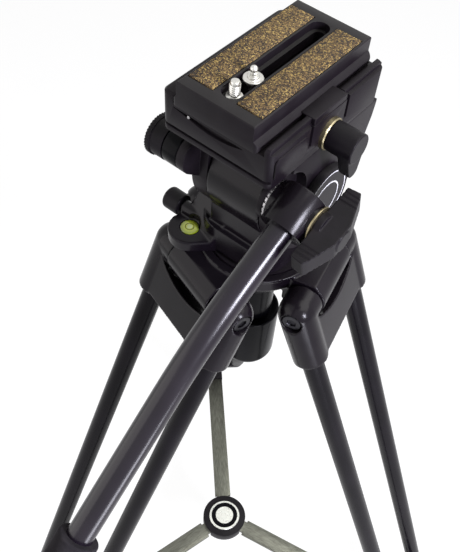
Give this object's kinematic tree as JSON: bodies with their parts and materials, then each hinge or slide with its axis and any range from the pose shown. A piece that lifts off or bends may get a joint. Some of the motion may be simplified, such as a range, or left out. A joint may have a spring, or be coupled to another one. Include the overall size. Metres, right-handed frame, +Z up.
{
  "type": "video tripod with fluid head",
  "caption": "Video tripod with splayed twin-tube legs, folding spreader, half-ball mount and a panning, tilting head with a sliding quick-release camera plate.",
  "frame": {"origin": "middle of the bottom of the whole outline, on the floor under the tripod", "axes": "+Z up, +Y the way the lens looks, +X the head's right, where the handle and the plate lock are"},
  "size_m": [0.5348, 0.5698, 0.8093],
  "materials": {
    "black_casting": "satin black paint over a fine cast texture",
    "platform_plate": "satin dark grey-green paint",
    "black_plastic": "moulded black plastic",
    "gloss_plastic": "glossy black plastic",
    "black_tube": "black anodised, half gloss",
    "cork": "speckled cork and rubber",
    "nickel": "bright nickel plate",
    "steel": "turned steel",
    "brass": "plain brass",
    "vial": "yellow-green clear liquid under acrylic",
    "foam": "closed-cell foam",
    "rubber": "moulded rubber",
    "arm_metal": "brushed dark anodised strip",
    "silver": "satin silver"
  },
  "bodies": {
    "crown": {"crown": "black_casting", "hinge_bolts": "steel"},
    "ball_head": {"half_ball": "black_casting", "pan_spindle": "steel", "clamp_cup": "black_plastic"},
    "tie_down": {"tie_down_knob": "black_plastic"},
    "pan_body": {"pan_housing": "black_casting", "level_vial": "vial", "tilt_bearings": "steel", "counterbalance_spring": "steel"},
    "pan_lock": {"pan_lock_knob": "black_plastic"},
    "tilt_body": {"tilt_platform": "black_casting", "left_cheek": "black_casting", "right_cheek": "black_casting", "tilt_shaft": "steel", "tilt_cap": "black_plastic", "handle_rosette": "steel", "plate_lock_collar": "brass", "tilt_lock_barrel": "gloss_plastic"},
    "tilt_lock": {"tilt_lock_knob": "black_plastic"},
    "plate_lock": {"plate_lock_knob": "black_plastic"},
    "jaw": {"clamp_jaw": "black_casting"},
    "plate": {"camera_plate": "platform_plate", "cork_pads": "cork"},
    "screw": {"camera_screw": "nickel"},
    "pin": {"video_pin": "nickel"},
    "handle": {"handle_socket": "black_casting", "handle_tube": "black_tube", "handle_grip": "foam", "handle_washer": "brass"},
    "wing": {"wing_knob": "black_plastic"},
    "hub": {"spreader_hub": "black_plastic", "hub_cap": "silver"},
    "leg_1": {"leg_yoke_1": "black_casting", "upper_tubes_1": "black_tube", "leg_collar_1": "black_plastic"},
    "lever_body_1": {"leg_lever_1": "black_plastic"},
    "lower_leg_1": {"lower_tubes_1": "black_tube", "foot_bridge_1": "black_plastic", "rubber_foot_1": "rubber"},
    "arm_1": {"spreader_arm_1": "arm_metal", "arm_end_1": "black_plastic"},
    "leg_2": {"leg_yoke_2": "black_casting", "upper_tubes_2": "black_tube", "leg_collar_2": "black_plastic"},
    "lever_body_2": {"leg_lever_2": "black_plastic"},
    "lower_leg_2": {"lower_tubes_2": "black_tube", "foot_bridge_2": "black_plastic", "rubber_foot_2": "rubber"},
    "arm_2": {"spreader_arm_2": "arm_metal", "arm_end_2": "black_plastic"},
    "leg_3": {"leg_yoke_3": "black_casting", "upper_tubes_3": "black_tube", "leg_collar_3": "black_plastic"},
    "lever_body_3": {"leg_lever_3": "black_plastic"},
    "lower_leg_3": {"lower_tubes_3": "black_tube", "foot_bridge_3": "black_plastic", "rubber_foot_3": "rubber"},
    "arm_3": {"spreader_arm_3": "arm_metal", "arm_end_3": "black_plastic"}
  },
  "joints": [
    {"name": "levelling", "type": "hinge", "parent": "crown", "child": "ball_head", "pos_m": [-0.03299, 0.03935, 0.6569], "axis": [1, 0, 0], "range_deg": [-3, 3]},
    {"name": "tie_down_turn", "type": "hinge", "parent": "ball_head", "child": "tie_down", "pos_m": [-0.03299, 0.03935, 0.6569], "axis": [0, 0, 1], "continuous": true},
    {"name": "pan", "type": "hinge", "parent": "ball_head", "child": "pan_body", "pos_m": [-0.03299, 0.03935, 0.6569], "axis": [0, 0, 1], "continuous": true},
    {"name": "pan_lock_turn", "type": "hinge", "parent": "pan_body", "child": "pan_lock", "pos_m": [-0.09569, 0.01275, 0.6709], "axis": [1, 0, 0], "continuous": true},
    {"name": "tilt", "type": "hinge", "parent": "pan_body", "child": "tilt_body", "pos_m": [-0.03299, 0.03935, 0.7194], "axis": [1, 0, 0], "range_deg": [-70, 20]},
    {"name": "tilt_lock_turn", "type": "hinge", "parent": "tilt_body", "child": "tilt_lock", "pos_m": [-0.06599, -0.00015, 0.7386], "axis": [1, 0, 0], "continuous": true},
    {"name": "plate_lock_turn", "type": "hinge", "parent": "tilt_body", "child": "plate_lock", "pos_m": [0.00851, 0.03635, 0.7729], "axis": [1, 0, 0], "range_deg": [0, 90]},
    {"name": "jaw_slide", "type": "slide", "parent": "tilt_body", "child": "jaw", "axis": [1, 0, 0], "range_m": [0, 0.002]},
    {"name": "plate_slide", "type": "slide", "parent": "tilt_body", "child": "plate", "axis": [0, 1, 0], "range_m": [-0.03, 0.03]},
    {"name": "camera_screw_turn", "type": "hinge", "parent": "plate", "child": "screw", "pos_m": [-0.03299, -0.00265, 0.8029], "axis": [0, 0, 1], "continuous": true},
    {"name": "video_pin_press", "type": "slide", "parent": "plate", "child": "pin", "axis": [0, 0, -1], "range_m": [0, 0.0025], "stiffness_N_per_m": 300, "springref_m": -0.003},
    {"name": "handle_angle", "type": "hinge", "parent": "tilt_body", "child": "handle", "pos_m": [0.01401, 0.00085, 0.7419], "axis": [-1, 0, 0], "range_deg": [-15, 75]},
    {"name": "wing_knob_turn", "type": "hinge", "parent": "handle", "child": "wing", "pos_m": [0.02956, 0.00085, 0.7419], "axis": [1, 0, 0], "continuous": true},
    {"name": "leg_fold_1", "type": "hinge", "parent": "crown", "child": "leg_1", "pos_m": [0.01326, 0.05017, 0.6399], "axis": [-0.2277, 0.9737, 0], "range_deg": [0, 18]},
    {"name": "lever_1", "type": "hinge", "parent": "leg_1", "child": "lever_body_1", "pos_m": [0.23232, 0.10139, 0.10831], "axis": [-0.2277, 0.9737, 0], "range_deg": [0, 100]},
    {"name": "leg_extend_1", "type": "slide", "parent": "leg_1", "child": "lower_leg_1", "axis": [0.3537, 0.0827, -0.9317], "range_m": [0, 0.3]},
    {"name": "leg_fold_2", "type": "hinge", "parent": "crown", "child": "leg_2", "pos_m": [-0.06549, 0.074, 0.6399], "axis": [-0.7294, -0.684, 0], "range_deg": [0, 18]},
    {"name": "lever_2", "type": "hinge", "parent": "leg_2", "child": "lever_body_2", "pos_m": [-0.21937, 0.2381, 0.10831], "axis": [-0.7294, -0.684, 0], "range_deg": [0, 100]},
    {"name": "leg_extend_2", "type": "slide", "parent": "leg_2", "child": "lower_leg_2", "axis": [-0.2485, 0.265, -0.9317], "range_m": [0, 0.3]},
    {"name": "leg_fold_3", "type": "hinge", "parent": "crown", "child": "leg_3", "pos_m": [-0.04675, -0.00611, 0.6399], "axis": [0.9571, -0.2897, 0], "range_deg": [0, 18]},
    {"name": "lever_3", "type": "hinge", "parent": "leg_3", "child": "lever_body_3", "pos_m": [-0.11193, -0.22143, 0.10831], "axis": [0.9571, -0.2897, 0], "range_deg": [0, 100]},
    {"name": "leg_extend_3", "type": "slide", "parent": "leg_3", "child": "lower_leg_3", "axis": [-0.1052, -0.3477, -0.9317], "range_m": [0, 0.3]},
    {"name": "hub_rise", "type": "slide", "parent": "crown", "child": "hub", "axis": [0, 0, 1], "range_m": [0, 0.17894]},
    {"name": "arm_turn_1", "type": "hinge", "parent": "hub", "child": "arm_1", "pos_m": [-0.01352, 0.04391, 0.09858], "axis": [-0.2277, 0.9737, 0], "range_deg": [0, 70.71]},
    {"name": "arm_turn_2", "type": "hinge", "parent": "hub", "child": "arm_2", "pos_m": [-0.04667, 0.05394, 0.09858], "axis": [-0.7294, -0.684, 0], "range_deg": [0, 70.71]},
    {"name": "arm_turn_3", "type": "hinge", "parent": "hub", "child": "arm_3", "pos_m": [-0.03879, 0.02021, 0.09858], "axis": [0.9571, -0.2897, 0], "range_deg": [0, 70.71]}
  ],
  "couplings": [
    {"joint": "plate_lock_turn", "follows": "jaw_slide", "rad_per_m": 784.61},
    {"joint": "leg_fold_2", "follows": "leg_fold_1", "ratio": 1},
    {"joint": "leg_fold_3", "follows": "leg_fold_1", "ratio": 1},
    {"joint": "hub_rise", "follows": "leg_fold_1", "m_per_rad": 0.56902},
    {"joint": "arm_turn_1", "follows": "leg_fold_1", "ratio": 3.927},
    {"joint": "arm_turn_2", "follows": "leg_fold_1", "ratio": 3.927},
    {"joint": "arm_turn_3", "follows": "leg_fold_1", "ratio": 3.927}
  ]
}
